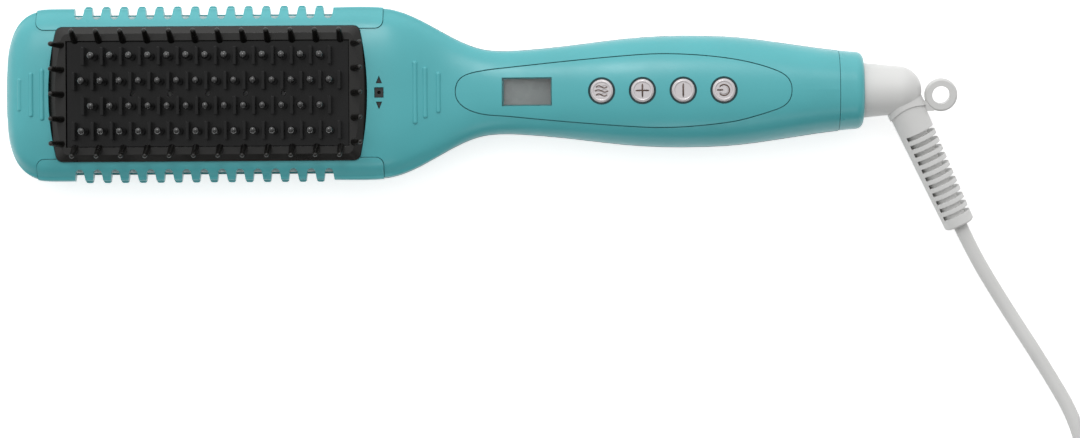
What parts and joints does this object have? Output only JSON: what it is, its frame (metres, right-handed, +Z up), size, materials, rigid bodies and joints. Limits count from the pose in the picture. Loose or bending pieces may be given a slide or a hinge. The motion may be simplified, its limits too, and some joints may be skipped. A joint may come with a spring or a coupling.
{
  "type": "steam hair straightener brush",
  "caption": "Corded paddle brush with a heated bristle plate, comb edges, display and push buttons on a curved handle, and a swivelling mains lead with a hanging ring.",
  "frame": {"origin": "centre of the brush's own outline, from the tip of the head to the far edge of the hanging ring, on the surface that its back rests on; the mains lead past the strain relief is left out of this", "axes": "+X along the brush from the head's tip towards the mains lead, +Y across the brush, +Z up out of the bristle side"},
  "size_m": [0.4669, 0.2289, 0.0356],
  "materials": {
    "teal_case": "moulded ABS, soft sheen",
    "teal_trim": "moulded ABS, gloss",
    "teal_fascia": "moulded ABS, satin",
    "dark_teal": "moulded, gloss",
    "button_silver": "pearl white, painted",
    "display_window": "clear acrylic",
    "display_glass": "grey liquid crystal cell",
    "black_nylon": "glass-filled nylon, matt",
    "dark_plate": "coated aluminium",
    "cap_nylon": "heat-resistant nylon",
    "black_plastic": "moulded",
    "circuit_board": "green solder mask",
    "screw_steel": "zinc plated",
    "ceramic_heater": "sintered alumina",
    "spring_steel": "rolled",
    "cast_aluminium": "die cast",
    "glass_bead": "sleeved bead",
    "mica": "mica sheet",
    "clear_tank": "translucent polypropylene",
    "silicone": "soft silicone",
    "wire_sleeve": "silicone sleeved",
    "white_plastic": "moulded, satin",
    "boot_rubber": "soft PVC",
    "cord_pvc": "white PVC, satin",
    "contact_brass": "plated"
  },
  "bodies": {
    "body": {"front_shell": "teal_case", "back_shell": "teal_case", "upper_comb_strip": "teal_trim", "lower_comb_strip": "teal_trim", "tail_cap": "teal_trim", "casing_screws": "screw_steel", "control_fascia": "teal_fascia", "display_lens": "display_window", "display_module": "display_glass", "button_bezels": "dark_teal", "tact_switches": "black_plastic", "main_board": "circuit_board", "board_components": "black_plastic", "board_screws": "screw_steel", "bristle_frame": "black_nylon", "frame_bristles": "black_nylon", "heating_plate": "dark_plate", "heating_blades": "dark_plate", "bristle_posts": "dark_plate", "bristle_caps": "cap_nylon", "heater_elements": "ceramic_heater", "heater_clamp": "spring_steel", "clamp_screws": "screw_steel", "steam_chamber": "cast_aluminium", "thermistor": "glass_bead", "thermal_fuse": "spring_steel", "heat_shield": "mica", "water_tank": "clear_tank", "water_pump": "black_plastic", "water_tubes": "silicone", "outlet_insert": "black_plastic", "ion_generator": "black_plastic", "heater_leads": "wire_sleeve", "supply_leads": "wire_sleeve", "swivel_socket": "white_plastic", "contact_springs": "contact_brass", "mains_cord": "cord_pvc", "cord_coil": "cord_pvc", "cord_tail": "cord_pvc", "plug_body": "cord_pvc", "plug_blades": "contact_brass"},
    "swivel": {"contact_rings": "contact_brass", "swivel_clip": "spring_steel", "swivel_neck": "white_plastic", "cable_boot": "boot_rubber", "boot_lead": "cord_pvc"},
    "steam_button": {"steam_button": "button_silver"},
    "plus_button": {"plus_button": "button_silver"},
    "minus_button": {"minus_button": "button_silver"},
    "power_button": {"power_button": "button_silver"},
    "filler_plug": {"filler_plug": "silicone"}
  },
  "joints": [
    {"name": "cord_swivel", "type": "hinge", "parent": "body", "child": "swivel", "pos_m": [0.12, 0, 0.013], "axis": [1, 0, 0], "continuous": true},
    {"name": "steam_press", "type": "slide", "parent": "body", "child": "steam_button", "axis": [0.1215, 0, -0.9926], "range_m": [0, 0.0005], "stiffness_N_per_m": 350, "springref_m": -0.0003},
    {"name": "plus_press", "type": "slide", "parent": "body", "child": "plus_button", "axis": [0.0651, 0, -0.9979], "range_m": [0, 0.0005], "stiffness_N_per_m": 350, "springref_m": -0.0003},
    {"name": "minus_press", "type": "slide", "parent": "body", "child": "minus_button", "axis": [0, 0, -1], "range_m": [0, 0.0005], "stiffness_N_per_m": 350, "springref_m": -0.0003},
    {"name": "power_press", "type": "slide", "parent": "body", "child": "power_button", "axis": [0, 0, -1], "range_m": [0, 0.0005], "stiffness_N_per_m": 350, "springref_m": -0.0003},
    {"name": "filler_pull", "type": "slide", "parent": "body", "child": "filler_plug", "axis": [-1, 0, 0], "range_m": [0, 0.008]}
  ]
}
